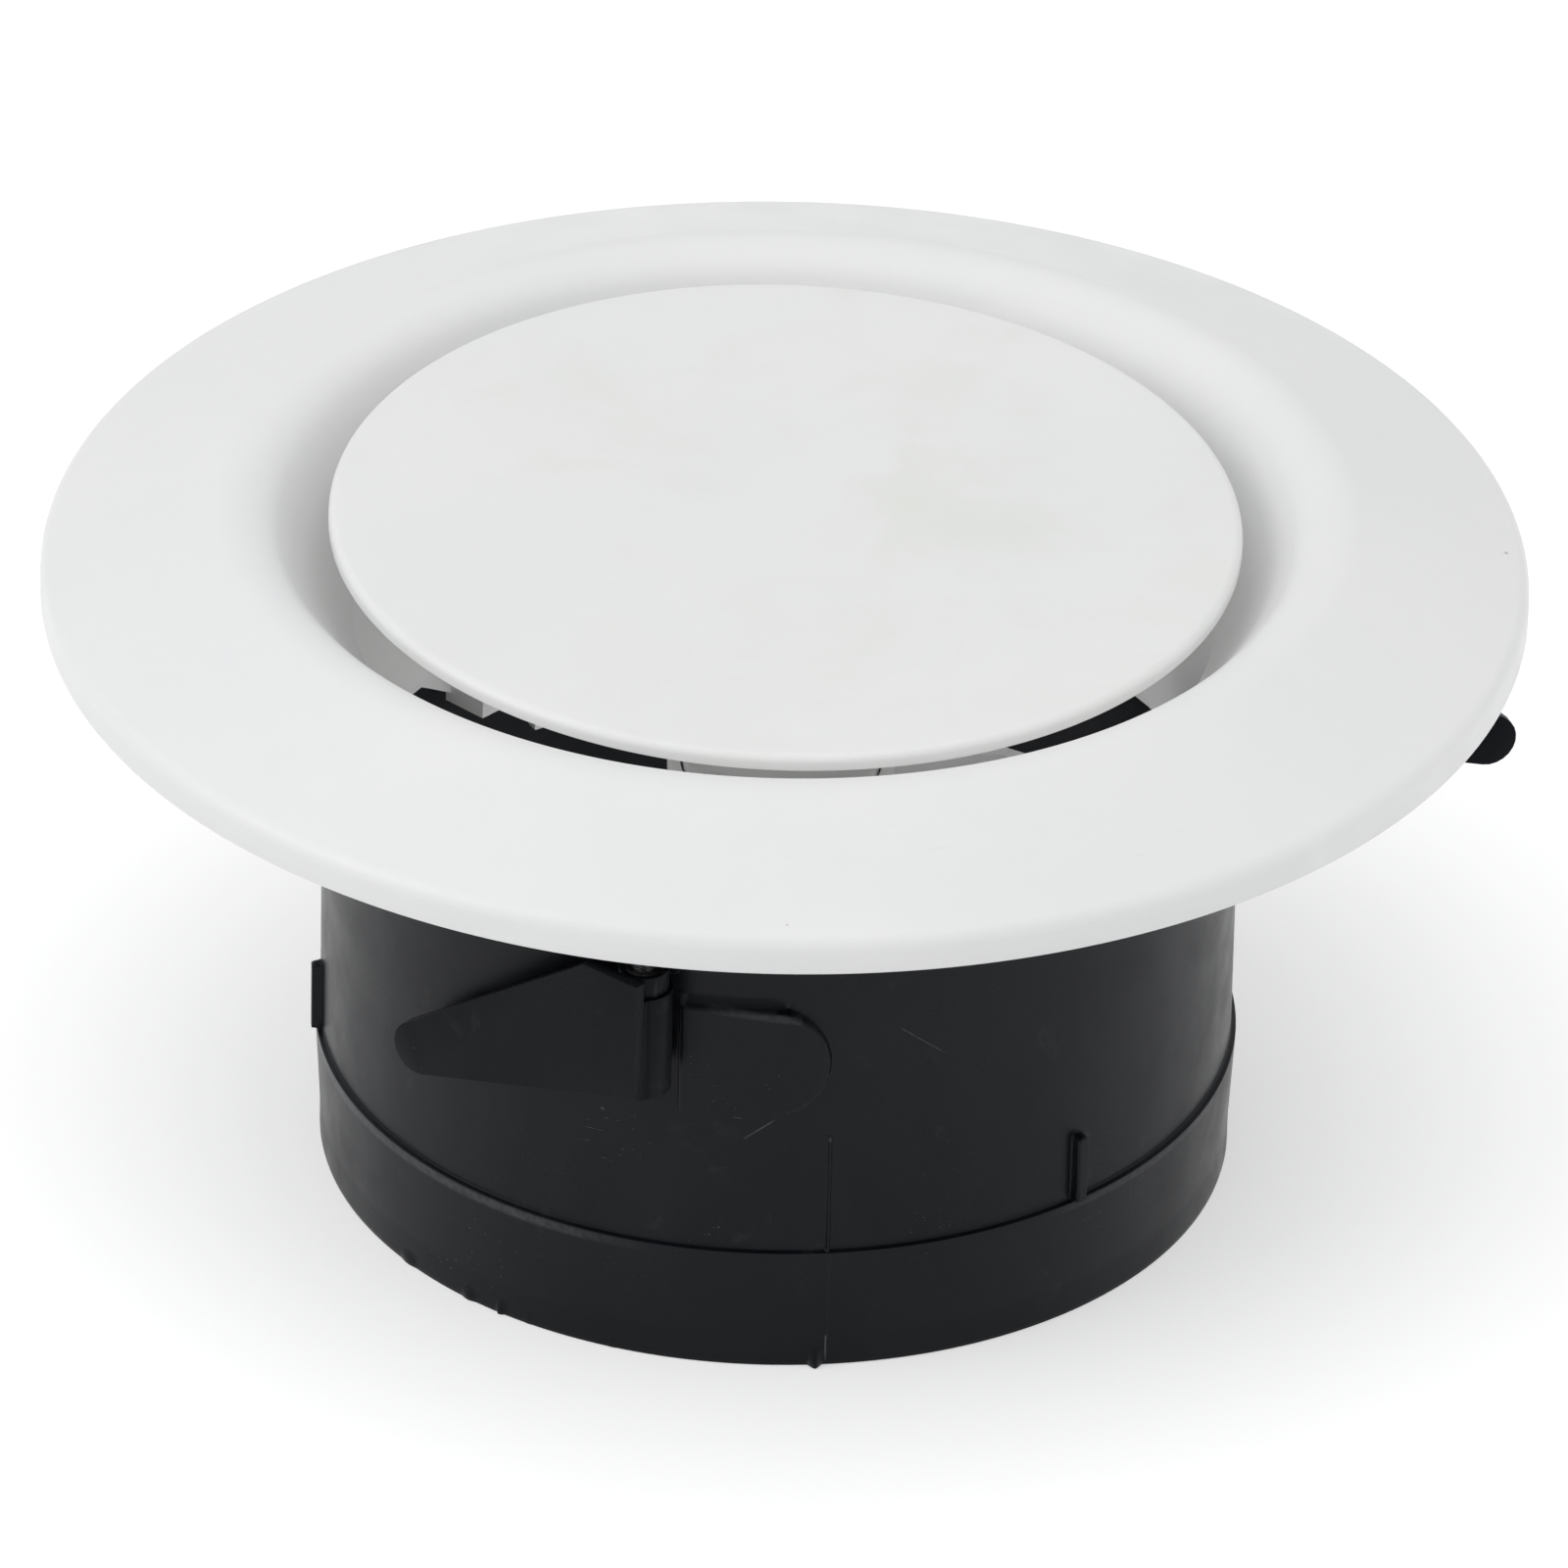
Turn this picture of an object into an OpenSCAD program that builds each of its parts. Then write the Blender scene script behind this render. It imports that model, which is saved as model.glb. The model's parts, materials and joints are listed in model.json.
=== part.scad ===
// Round ceiling air diffuser for a 150 mm duct.
// Units are millimetres and +Z points out of the face, into the room.
// The origin is on the axis, in the back plane of the flange that lies on the ceiling.
// Azimuths are degrees from the front (-Y), positive towards +X.

/* [Face ring] */
// Outside diameter of the white flange
face_d = 238; // [232:1:242]
// Height of the straight outer rim
rim_h = 4; // [3:0.5:5]
// Wall thickness of the white shells
skin = 2.2; // [1.8:0.1:2.4]
// Height of the rolled lip's crest above the ceiling
lip_top = 15.95; // [15:0.05:16.5]
// Radius at which the lip's roll is centred
lip_r = 88.7; // [88:0.1:89.5]
// Radius of the lip's roll
lip_roll = 9.5; // [9:0.1:10]
// Inside radius of the throat
throat_r = 69.5; // [69.2:0.1:69.6]
// How far the skirt reaches behind the ceiling plane
skirt_depth = 41; // [40.5:0.5:42]
// How far the three snap legs reach behind the ceiling plane
leg_depth = 60; // [59.5:0.5:61]

/* [Centre disc] */
// Diameter of the centre disc
disc_d = 146; // [144:0.5:147]
// Height of the disc's middle above the ceiling, at the setting shown
disc_top = 14.2; // [13.8:0.1:14.6]
// Depth of the disc's rim
disc_h = 2.8; // [2.6:0.1:3.2]
// Degrees by which the disc's front edge hangs down
disc_tilt = 1.5; // [0:0.1:1.6]
// Degrees by which the disc's right edge hangs down
disc_lean = 0.9; // [0:0.1:1]

/* [Collar] */
// Outside radius of the collar wall
collar_r = 73.8; // [73.7:0.05:73.9]
// Inside radius of the collar wall
collar_in = 71.9; // [71.85:0.05:72]
// Outside radius of the duct band, for a 150 mm duct
band_r = 74.6; // [74.4:0.05:74.8]
// Depth of the band's upper edge behind the ceiling plane
band_depth = 78.2; // [77:0.2:80]
// Depth of the collar's open end behind the ceiling plane
collar_depth = 100; // [99:0.5:102]
// Radius of the hidden mounting flange
mount_r = 106; // [104:0.5:108]

/* [Clamps] */
// Azimuths of the three clamp arms
clamp_az = [-15, 105, 225];
// Distance of each clamp pivot from the axis
pivot_r = 80.5; // [80.4:0.05:80.7]
// Length of an arm from its pivot to its tip
arm_len = 46.5; // [45:0.5:48]
// Thickness of an arm's blade
blade_t = 2; // [1.8:0.1:2]
// Angle between the tangent and a folded arm
fold_in = 24.5; // [24:0.1:24.6]
// Angle an arm turns between folded and swung out
swing = 120; // [115:1:125]
// Height to which the middle clamp is drawn up
raised = 5; // [0:0.5:6]

/* [Hidden] */
$fn = 96;
eps = 0.02;
face_r = face_d / 2;
disc_r = disc_d / 2;
white = [0.93, 0.93, 0.92];
black = [0.13, 0.14, 0.16];
zinc = [0.72, 0.73, 0.74];
brass = [0.78, 0.65, 0.35];
dark_steel = [0.2, 0.2, 0.22];

// Face ring section
rim_round = 2.8;
lip_z = lip_top - lip_roll;
funnel_slope = 55;
cone_run = lip_r - (face_r - rim_round);
cone_rise = lip_z - rim_h;
cone_gap = lip_roll - rim_round;
cone_tilt = asin(cone_gap / norm([cone_run, cone_rise])) + atan2(cone_rise, -cone_run);
funnel_r = lip_r - lip_roll * sin(funnel_slope);
funnel_z = lip_z + lip_roll * cos(funnel_slope);
seat_z = funnel_z - (funnel_r - throat_r) * tan(funnel_slope);

// Snap legs and the bridge that carries the disc
leg_az = [-151, -31, 89];
leg_half = 8;
leg_low_z = -57.7;
leg_root = 34.3;
leg_root_z = -40.4;
lug_r = 62;
lug_h = 6.5;
lug_half = 5;
spoke_az = [-133, -13, 107];
spoke_top = -31.5;
spoke_h = 8;
spoke_t = 3.6;
cup_r = 18.3;
cup_in = 16.2;
cup_floor = -43;
cup_floor_t = 2.5;
post_r = 10;
post_top = -5;
sleeve_r = 7;
key_w = 3;
key_out = 1.6;
tab_r = 66;
tab_t = 3;
tab_z = -41;

// Disc and stem
boss_r = 15.8;
boss_in = 13.8;
boss_low = -33;
stem_r = 4;
stem_low = -75;
nut_r = 8;
nut_z = [-54, -45.5];
sleeve_z = [-32.5, -21];
disc_post_low = 4.2;
insert_h = 7.2;
boss_top = 13;
web_r = 62;

// Collar and clamps
gutter_top = -6;
gutter_t = 2.4;
gutter_r = 88.5;
mount_z = 2;
mount_t = 2.4;
gasket_in = 92;
rib_az = [41, -84, 161];
rib_r = 75.5;
rib_w = 2.4;
rib_top = -66;
ridge_az = 7;
ridge_top = -57;
pad_r = 75.3;
pad_z = -43;
pad_half = 10.2;
pad_from = 3;
pad_to = 14.2;
hub_r = 4.6;
hub_z = [-45.5, -27.4];
shaft_r = 2;
nut_tube_r = 3;
nut_flange_r = 3.9;
nut_flange_t = 1.5;
bore_gap = 0.05;
key_r = 4;
key_z = [-27.3, -23.7];
rail_r = 75.2;
rail_off = 3.1;
rail_half = 0.7;
blade_in = 4.1;
blade_heel = -3.6;
blade_top = -23.6;
tip_z = -53.2;
tip_r = 4.5;

// Turns its children so that their +X axis points out along an azimuth
module at(az) {
    rotate([0, 0, az - 90])
        children();
}

// A plain tube between two heights
module tube(r_out, r_in, z0, z1) {
    difference() {
        translate([0, 0, z0])
            cylinder(r = r_out, h = z1 - z0);
        translate([0, 0, z0 - 1])
            cylinder(r = r_in, h = z1 - z0 + 2);
    }
}

// A block from one corner to the opposite corner
module block(from, to) {
    translate(from)
        cube(to - from);
}

// Points of an arc in the section plane
function arc(cx, cz, r, a0, a1, n) =
    [for (i = [0 : n]) [cx + r * cos(a0 + (a1 - a0) * i / n), cz + r * sin(a0 + (a1 - a0) * i / n)]];

// The white shell: rim, shallow cone, rolled lip and funnel
module face_shell() {
    rotate_extrude()
        polygon(concat(
            [[face_r, 0]],
            arc(face_r - rim_round, rim_h, rim_round, 0, 90 - cone_tilt, 5),
            arc(lip_r, lip_z, lip_roll, 90 - cone_tilt, 90 + funnel_slope, 14),
            [[throat_r, seat_z], [throat_r, -leg_depth], [throat_r + skin, -leg_depth],
             [throat_r + skin, seat_z - skin * tan((90 - funnel_slope) / 2)]],
            arc(lip_r, lip_z, lip_roll - skin, 90 + funnel_slope, 90 - cone_tilt, 14),
            [[face_r - rim_round, rim_h + rim_round - skin],
             [face_r - skin, rim_h], [face_r - skin, 0]]));
}

// Outline of one snap leg, which widens upwards into the skirt, as a prism along +X
module leg_outline() {
    rotate([90, 0, 90])
        linear_extrude(100)
            polygon([[-leg_half, -leg_depth - 2], [leg_half, -leg_depth - 2], [leg_half, leg_low_z],
                     [leg_root, leg_root_z], [-leg_root, leg_root_z], [-leg_half, leg_low_z]]);
}

// What is cut away below the skirt: the gaps between the legs, and each leg's window
module leg_gaps() {
    difference() {
        translate([0, 0, -leg_depth - 1])
            cylinder(r = 90, h = leg_depth + 1 - skirt_depth);
        for (az = leg_az)
            at(az)
                leg_outline();
    }
    for (az = leg_az)
        at(az)
            block([throat_r - 4, -5.2, -57.5], [throat_r + 6, 5.2, -51.5]);
}

// A lug inside the skirt that a spoke is screwed to
module skirt_lug() {
    difference() {
        intersection() {
            block([lug_r, -lug_half, tab_z - lug_h], [throat_r + skin / 2, lug_half, tab_z]);
            cylinder(r = throat_r + skin / 2, h = 200, center = true);
        }
        translate([tab_r, 0, tab_z - 6])
            cylinder(r = 1.5, h = 10, $fn = 32);
    }
}

module face_ring() {
    color(white) {
        difference() {
            face_shell();
            leg_gaps();
        }
        for (az = spoke_az)
            at(az)
                skirt_lug();
        // Stiffening ribs behind the cone
        for (i = [0 : 11])
            at(i * 30 + 15)
                rotate([90, 0, 0])
                    translate([0, 0, -0.8])
                        linear_extrude(1.6)
                            polygon([[mount_r + 2.5, 1], [face_r - skin / 2, 1],
                                     [face_r - skin / 2, rim_h], [mount_r + 2.5, rim_h + 4.2]]);
    }
}

// The disc's shallow tray and the webs behind it, about its middle
module disc_tray() {
    round_r = 1.4;
    rotate_extrude()
        polygon(concat(
            [[0, 0]],
            arc(disc_r - round_r, -round_r, round_r, 90, 0, 5),
            [[disc_r, -disc_h], [disc_r - skin, -disc_h], [disc_r - skin, -skin], [0, -skin]]));
    for (i = [0 : 5])
        at(i * 60)
            rotate([90, 0, 0])
                translate([0, 0, -0.9])
                    linear_extrude(1.8)
                        polygon([[boss_r - 0.5, -9], [web_r, -3.4], [web_r, -skin + 0.3],
                                 [boss_r - 0.5, -skin + 0.3]]);
}

// The disc hangs a little crooked on its upright boss
module face_disc() {
    color(white) {
        translate([0, 0, disc_top])
            rotate([disc_tilt, disc_lean, 0])
                disc_tray();
        tube(boss_r, boss_in, boss_low, boss_top);
        difference() {
            translate([0, 0, disc_post_low])
                cylinder(r = 9, h = boss_top - disc_post_low);
            translate([0, 0, disc_post_low - 1])
                cylinder(r = 5.5, h = insert_h + 1.1);
        }
    }
}

module disc_insert() {
    color(brass)
        tube(5.5, stem_r, disc_post_low, disc_post_low + insert_h);
}

module stem() {
    color(zinc)
        difference() {
            union() {
                translate([0, 0, stem_low])
                    cylinder(r = stem_r, h = disc_post_low + insert_h - 0.2 - stem_low);
                translate([0, 0, sleeve_z[1] + bore_gap])
                    cylinder(r = 6, h = 1.5);
            }
            // Screwdriver slot in the lower end
            block([-5, -0.6, stem_low - 1], [5, 0.6, stem_low + 1.5]);
        }
}

// Keyed sleeve that travels with the stem without turning
module drag_sleeve() {
    color([0.9, 0.9, 0.86])
        difference() {
            union() {
                translate([0, 0, sleeve_z[0]])
                    cylinder(r = sleeve_r, h = sleeve_z[1] - sleeve_z[0]);
                for (a = [0, 180])
                    rotate([0, 0, a])
                        block([5.5, -key_w / 2, sleeve_z[0]], [sleeve_r + key_out, key_w / 2, sleeve_z[1]]);
            }
            translate([0, 0, sleeve_z[0] - 1])
                cylinder(r = stem_r + bore_gap, h = 20);
        }
}

module drag_clip() {
    color(zinc)
        tube(6, stem_r, sleeve_z[0] - bore_gap - 1.2, sleeve_z[0] - bore_gap);
}

module end_washer() {
    color(zinc)
        tube(8, stem_r, stem_low + 3.2, stem_low + 4.7);
}

module end_clip() {
    color([0.25, 0.26, 0.28])
        tube(6.2, stem_r, stem_low + 2, stem_low + 3.2);
}

// One spoke with its sloping top edge, the tab at its end and the screw hole
module spoke() {
    difference() {
        union() {
            rotate([90, 0, 0])
                translate([0, 0, -spoke_t / 2])
                    linear_extrude(spoke_t)
                        polygon([[cup_in + 1, spoke_top], [36.5, spoke_top - 3.3], [43, tab_z + tab_t],
                                 [lug_r, tab_z + tab_t], [lug_r, tab_z], [40, spoke_top - spoke_h - 3],
                                 [cup_in + 1, spoke_top - spoke_h]]);
            intersection() {
                block([lug_r - 2, -lug_half, tab_z], [throat_r, lug_half, tab_z + tab_t]);
                cylinder(r = throat_r - 0.15, h = 200, center = true);
            }
        }
        translate([tab_r, 0, tab_z - 1])
            cylinder(r = 1.6, h = tab_t + 2, $fn = 32);
    }
}

module bridge() {
    color(white)
        difference() {
            union() {
                tube(cup_r, cup_in, cup_floor - cup_floor_t, spoke_top);
                translate([0, 0, cup_floor - cup_floor_t])
                    cylinder(r = cup_in + 0.5, h = cup_floor_t);
                translate([0, 0, cup_floor - cup_floor_t])
                    cylinder(r = post_r, h = post_top - cup_floor + cup_floor_t);
                translate([0, 0, nut_z[0]])
                    cylinder(r = 11, h = cup_floor - nut_z[0]);
                for (az = spoke_az)
                    at(az)
                        spoke();
            }
            translate([0, 0, cup_floor])
                cylinder(r = sleeve_r + bore_gap, h = 60);
            translate([0, 0, nut_z[0] - 1])
                cylinder(r = nut_r, h = nut_z[1] - nut_z[0] + 1);
            translate([0, 0, nut_z[0] - 1])
                cylinder(r = stem_r + 0.4, h = 30);
            // Keyways for the drag sleeve
            for (a = [0, 180])
                rotate([0, 0, a])
                    block([5, -key_w / 2 - 0.1, cup_floor], [sleeve_r + key_out + 0.2, key_w / 2 + 0.1, 5]);
        }
}

module bridge_nut() {
    color(brass)
        tube(nut_r, stem_r + bore_gap, nut_z[0], nut_z[1]);
}

module bridge_screws() {
    color(zinc)
        for (az = spoke_az)
            at(az)
                translate([tab_r, 0, 0])
                    difference() {
                        union() {
                            translate([0, 0, tab_z - 5.5])
                                cylinder(r = 1.5, h = 5.5 + tab_t, $fn = 32);
                            translate([0, 0, tab_z + tab_t])
                                cylinder(r = 2.8, h = 1.8, $fn = 48);
                        }
                        for (a = [0, 90])
                            rotate([0, 0, a])
                                block([-1.6, -0.35, tab_z + tab_t + 0.9], [1.6, 0.35, tab_z + tab_t + 3]);
                    }
}

// The black body: wall, duct band, screw gutter and hidden mounting flange
module collar_shell() {
    rotate_extrude()
        polygon([[collar_in, -collar_depth], [collar_r - 0.5, -collar_depth],
                 [band_r, -collar_depth + 6], [band_r, -band_depth - 0.5],
                 [band_r - 0.5, -band_depth], [collar_r, -band_depth],
                 [collar_r, gutter_top - gutter_t], [gutter_r, gutter_top - gutter_t],
                 [gutter_r, mount_z], [mount_r, mount_z], [mount_r, mount_z + mount_t],
                 [gutter_r - 1.8, mount_z + mount_t], [gutter_r - 1.8, gutter_top],
                 [collar_in, gutter_top]]);
}

// Short round-topped rib that stands on the band's upper edge
module band_rib() {
    hull() {
        block([collar_r - 1, -rib_w / 2, -band_depth - 0.6], [rib_r, rib_w / 2, -band_depth]);
        translate([collar_r - 1, 0, rib_top - rib_w / 2])
            rotate([0, 90, 0])
                cylinder(r = rib_w / 2, h = rib_r - collar_r + 1, $fn = 32);
    }
}

// Raised stop pad beside a clamp, with a round far end
module stop_pad() {
    intersection() {
        tube(pad_r, collar_r - 0.6, pad_z - pad_half, pad_z + pad_half);
        union() {
            rotate([0, 0, pad_to])
                translate([0, 0, pad_z])
                    rotate([0, 90, 0])
                        cylinder(r = pad_half, h = 100, $fn = 64);
            rotate([0, 0, pad_from])
                block([0, 0, pad_z - pad_half], [100, 14, pad_z + pad_half]);
        }
    }
}

// Two rails that keep a clamp's guide key from turning
module key_rails() {
    for (s = [-1, 1])
        block([collar_r - 0.5, s * rail_off - rail_half, hub_z[1] - 0.5],
              [rail_r, s * rail_off + rail_half, gutter_top - gutter_t + eps]);
}

module collar() {
    color(black)
        difference() {
            union() {
                collar_shell();
                for (az = rib_az)
                    at(az)
                        band_rib();
                at(ridge_az)
                    block([collar_r - 0.5, -0.3, -collar_depth + 6], [band_r + 0.12, 0.3, ridge_top]);
                for (az = clamp_az)
                    at(az) {
                        stop_pad();
                        key_rails();
                    }
                // Catches that snap into the windows of the skirt's legs
                for (az = leg_az)
                    at(az)
                        block([70.4, -4, -57.2], [collar_in + 0.5, 4, -53]);
            }
            for (az = clamp_az)
                at(az)
                    translate([pivot_r, 0, gutter_top - gutter_t - 1])
                        cylinder(r = shaft_r + bore_gap, h = gutter_t + 2, $fn = 48);
        }
}

// Foam ring under the mounting flange
module flange_gasket() {
    color([0.2, 0.2, 0.2])
        tube(mount_r - 1, gasket_in, 0, mount_z);
}

// Places one clamp's parts at their pivot
module on_pivot(i, lift) {
    at(clamp_az[i])
        translate([pivot_r, 0, lift])
            children();
}

module clamp_screw(i) {
    color(dark_steel)
        on_pivot(i, 0)
            difference() {
                union() {
                    translate([0, 0, hub_z[0]])
                        cylinder(r = shaft_r, h = gutter_top - hub_z[0] + 1, $fn = 48);
                    translate([0, 0, gutter_top + bore_gap])
                        cylinder(r = 3.8, h = 2.6, $fn = 64);
                }
                for (a = [0, 90])
                    rotate([0, 0, a])
                        block([-2.2, -0.45, gutter_top + 1.3], [2.2, 0.45, gutter_top + 4]);
            }
}

module screw_clip(i) {
    color(dark_steel)
        on_pivot(i, 0)
            tube(key_r, shaft_r, gutter_top - gutter_t - 0.8, gutter_top - gutter_t - bore_gap);
}

// Key pressed onto the sleeve nut: its tongue slides between the collar's rails
module guide_key(i, lift) {
    color(black)
        on_pivot(i, lift)
            difference() {
                union() {
                    translate([0, 0, key_z[0]])
                        cylinder(r = key_r, h = key_z[1] - key_z[0], $fn = 64);
                    block([-6.3, -2.25, key_z[0]], [0, 2.25, key_z[1]]);
                }
                translate([0, 0, key_z[0] - 1])
                    cylinder(r = nut_tube_r, h = 8, $fn = 48);
            }
}

// Sleeve nut: the arm turns on it and its lower flange carries the clamp force
module arm_nut(i, lift) {
    color(dark_steel)
        on_pivot(i, lift)
            difference() {
                union() {
                    translate([0, 0, hub_z[0]])
                        cylinder(r = nut_tube_r, h = key_z[1] - hub_z[0], $fn = 48);
                    translate([0, 0, hub_z[0]])
                        cylinder(r = nut_flange_r, h = nut_flange_t - bore_gap, $fn = 64);
                }
                translate([0, 0, hub_z[0] - 1])
                    cylinder(r = shaft_r + bore_gap, h = 40, $fn = 48);
            }
}

// Outline of the arm's leaf-shaped blade, from its heel behind the pivot to its rounded tip
module blade_outline() {
    polygon(concat(
        [[blade_heel, blade_top], [7.3, blade_top]],
        arc(arm_len - tip_r, tip_z, tip_r, 55, -107, 10),
        [[blade_heel, hub_z[0] + 1.4]]));
}

// Swing-out arm; turn is its angle away from folded. Its blade stands in front of the hub,
// and the blade's heel lands on the collar's pad when the arm is fully out
module clamp_arm(i, lift, turn) {
    color(black)
        on_pivot(i, lift)
            rotate([0, 0, turn - 90 - fold_in])
                difference() {
                    union() {
                        translate([0, 0, hub_z[0]])
                            cylinder(r = hub_r, h = hub_z[1] - hub_z[0], $fn = 64);
                        // Web between the hub and the blade
                        translate([0, 0, hub_z[0]])
                            linear_extrude(hub_z[1] - hub_z[0])
                                polygon([[0, 0], [4, 2], [11, blade_in + 0.1], [-3.4, blade_in + 0.1],
                                         [-3.4, 3]]);
                        translate([0, blade_in + blade_t, 0])
                            rotate([90, 0, 0])
                                linear_extrude(blade_t)
                                    blade_outline();
                    }
                    translate([0, 0, hub_z[0] - 1])
                        cylinder(r = nut_tube_r + bore_gap, h = 40, $fn = 48);
                    translate([0, 0, hub_z[0] - 1])
                        cylinder(r = nut_flange_r + bore_gap, h = nut_flange_t + 1, $fn = 64);
                }
}

face_ring();
face_disc();
disc_insert();
stem();
drag_sleeve();
drag_clip();
end_washer();
end_clip();
bridge();
bridge_nut();
bridge_screws();
collar();
flange_gasket();
clamp_screw(0);  // clamp_screw_a
clamp_screw(1);  // clamp_screw_b
clamp_screw(2);  // clamp_screw_c
screw_clip(0);  // screw_clip_a
screw_clip(1);  // screw_clip_b
screw_clip(2);  // screw_clip_c
guide_key(0, 0);  // guide_key_a
guide_key(1, raised);  // guide_key_b
guide_key(2, 0);  // guide_key_c
arm_nut(0, 0);  // arm_nut_a
arm_nut(1, raised);  // arm_nut_b
arm_nut(2, 0);  // arm_nut_c
clamp_arm(0, 0, 0);  // arm_a
clamp_arm(1, raised, swing);  // arm_b
clamp_arm(2, 0, 0);  // arm_c
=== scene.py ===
"""Looks of a round ceiling air diffuser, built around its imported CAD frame.

Lengths in the shape sections are in millimetres and are turned into metres when a mesh is made.
Azimuths are degrees from the front (-Y), positive towards +X.
"""
import json
import math

import bmesh
import bpy
import numpy as np
from mathutils import Matrix, Vector


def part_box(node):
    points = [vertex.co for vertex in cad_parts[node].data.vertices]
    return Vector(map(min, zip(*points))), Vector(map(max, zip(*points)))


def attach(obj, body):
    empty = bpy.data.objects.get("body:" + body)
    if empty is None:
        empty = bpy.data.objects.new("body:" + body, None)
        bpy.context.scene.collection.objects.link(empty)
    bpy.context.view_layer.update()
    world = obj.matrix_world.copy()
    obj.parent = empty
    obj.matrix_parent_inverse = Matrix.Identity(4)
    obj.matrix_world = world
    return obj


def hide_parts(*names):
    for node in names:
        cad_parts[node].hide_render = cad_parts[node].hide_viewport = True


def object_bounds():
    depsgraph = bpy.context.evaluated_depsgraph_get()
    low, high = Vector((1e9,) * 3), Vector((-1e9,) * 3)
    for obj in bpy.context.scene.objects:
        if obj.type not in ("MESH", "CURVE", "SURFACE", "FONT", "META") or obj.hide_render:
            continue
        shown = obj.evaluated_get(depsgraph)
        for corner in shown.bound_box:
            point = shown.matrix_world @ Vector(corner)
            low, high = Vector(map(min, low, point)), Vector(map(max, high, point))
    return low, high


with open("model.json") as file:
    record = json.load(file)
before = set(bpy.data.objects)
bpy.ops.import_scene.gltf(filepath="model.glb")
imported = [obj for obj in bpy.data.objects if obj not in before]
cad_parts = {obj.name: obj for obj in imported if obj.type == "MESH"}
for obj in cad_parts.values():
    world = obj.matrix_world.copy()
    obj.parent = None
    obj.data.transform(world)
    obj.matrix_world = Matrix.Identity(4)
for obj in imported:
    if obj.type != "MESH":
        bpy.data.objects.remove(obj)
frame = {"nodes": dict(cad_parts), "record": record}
cad_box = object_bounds()

MM = 0.001


# ---------------------------------------------------------------- sizes read from the frame

def span(node):
    """Lowest and highest corner of a CAD node, in millimetres."""
    lo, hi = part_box(node)
    return lo / MM, hi / MM


ring_lo, ring_hi = span("face_ring")
disc_lo, _ = span("face_disc")
collar_lo, collar_hi = span("collar")

FACE_R = -ring_lo.x                # outside radius of the flange
LIP_TOP = ring_hi.z                # crest of the rolled lip
BOSS_LOW = disc_lo.z
COLLAR_LOW = collar_lo.z
MOUNT_TOP = collar_hi.z
MOUNT_R = -collar_lo.x

# ---------------------------------------------------------------- sizes of the shells

SKIN = 2.2
RIM_H = 4.0
RIM_ROUND = 2.8
LIP_R = 88.7
LIP_ROLL = 9.5
THROAT_R = 69.5
SKIRT_LOW = -41.0
FUNNEL_SLOPE = 55.0                # degrees
LEG_AZ = (-151, -31, 89)
LEG_OVERLAP = 0.8
BACK_RIBS = 12
BACK_RIB_IN = 2.5                  # from the mounting flange to the inner end of a rib behind the cone
BACK_RIB_LOW = 1.0
BACK_RIB_RISE = 4.2
DISC_R = 73.0
DISC_MID = 14.2                    # height of the disc's middle
DISC_TILT = 1.5                    # degrees by which its front hangs down
DISC_LEAN = 0.9                    # degrees by which its right side hangs down
DISC_H = 2.8
DISC_ROUND = 1.4
BOSS_TOP = 13.0
BOSS_R = 15.8
BOSS_IN = 13.8
POST_LOW = 4.2
POST_R = 9.0
INSERT_R = 5.5
WEBS = 6
WEB_R = 62.0
WEB_DEEP = 9.0                     # below the tray's face, at the boss
WEB_SHALLOW = 3.4                  # and at the outer end
COLLAR_R = 73.8
COLLAR_IN = 71.9
BAND_R = 74.6
BAND_TOP = -78.2
BAND_TAPER = 1.1                   # on the radius, down to the lower edge
GUTTER_R = 88.5
GUTTER_TOP = -6.0
GUTTER_LOW = -8.4
MOUNT_Z = 2.0
CLAMP_AZ = (-15, 105, 225)
PIVOT_R = 80.5
RIB_AZ = (41, -84, 161)
RIB_R = 75.5
RIDGE_AZ = 7
RIDGE_TOP = -57.0
RIB_TOP = -66.0
PAD_R = 75.3
PAD_Z = -43.0
PAD_HALF = 10.2
PAD_START = 3                      # azimuth from a clamp to the near edge of its pad
PAD_END = 14.2                     # and to the centre of the pad's round end
RAIL_OFF = 3.1
RAIL_HALF = 0.7
RAIL_RISE = 1.4
RAIL_LOW = -28.2
CATCH_LOW = -57.2
CATCH_TOP = -53.0
STEM_R = 4.0
STEM_PITCH = 2.0
STEM_STARTS = 2
SCREW_R = 2.0
SCREW_PITCH = 0.7
SHELL_STEPS = 384                  # facets round the face ring and the disc


# ---------------------------------------------------------------- mesh helpers

def polar(radius, azimuth, z):
    """A point, in millimetres, at a radius and an azimuth."""
    a = math.radians(azimuth)
    return (radius * math.sin(a), -radius * math.cos(a), z)


def piece(name, points, faces, body, material, slot, sharp=32.0):
    """Makes a mesh piece from points in millimetres, smooth except at edges sharper than the limit."""
    mesh = bpy.data.meshes.new(name)
    mesh.from_pydata([tuple(c * MM for c in p) for p in points], [], faces)
    mesh.validate()
    mesh.update()
    obj = bpy.data.objects.new(name, mesh)
    bpy.context.scene.collection.objects.link(obj)
    finish_piece(obj, body, material, sharp)
    return obj


def finish_piece(obj, body, material, sharp):
    """Smooths, paints and attaches a mesh object."""
    for p in obj.data.polygons:
        p.use_smooth = True
    obj.data.set_sharp_from_angle(angle=math.radians(sharp))
    obj.data.materials.clear()
    obj.data.materials.append(material)
    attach(obj, body)


def arc(cx, cz, radius, start, end, steps):
    """Points of an arc in the (radius, z) section plane."""
    turn = [math.radians(start + (end - start) * i / steps) for i in range(steps + 1)]
    return [(cx + radius * math.cos(t), cz + radius * math.sin(t)) for t in turn]


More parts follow.
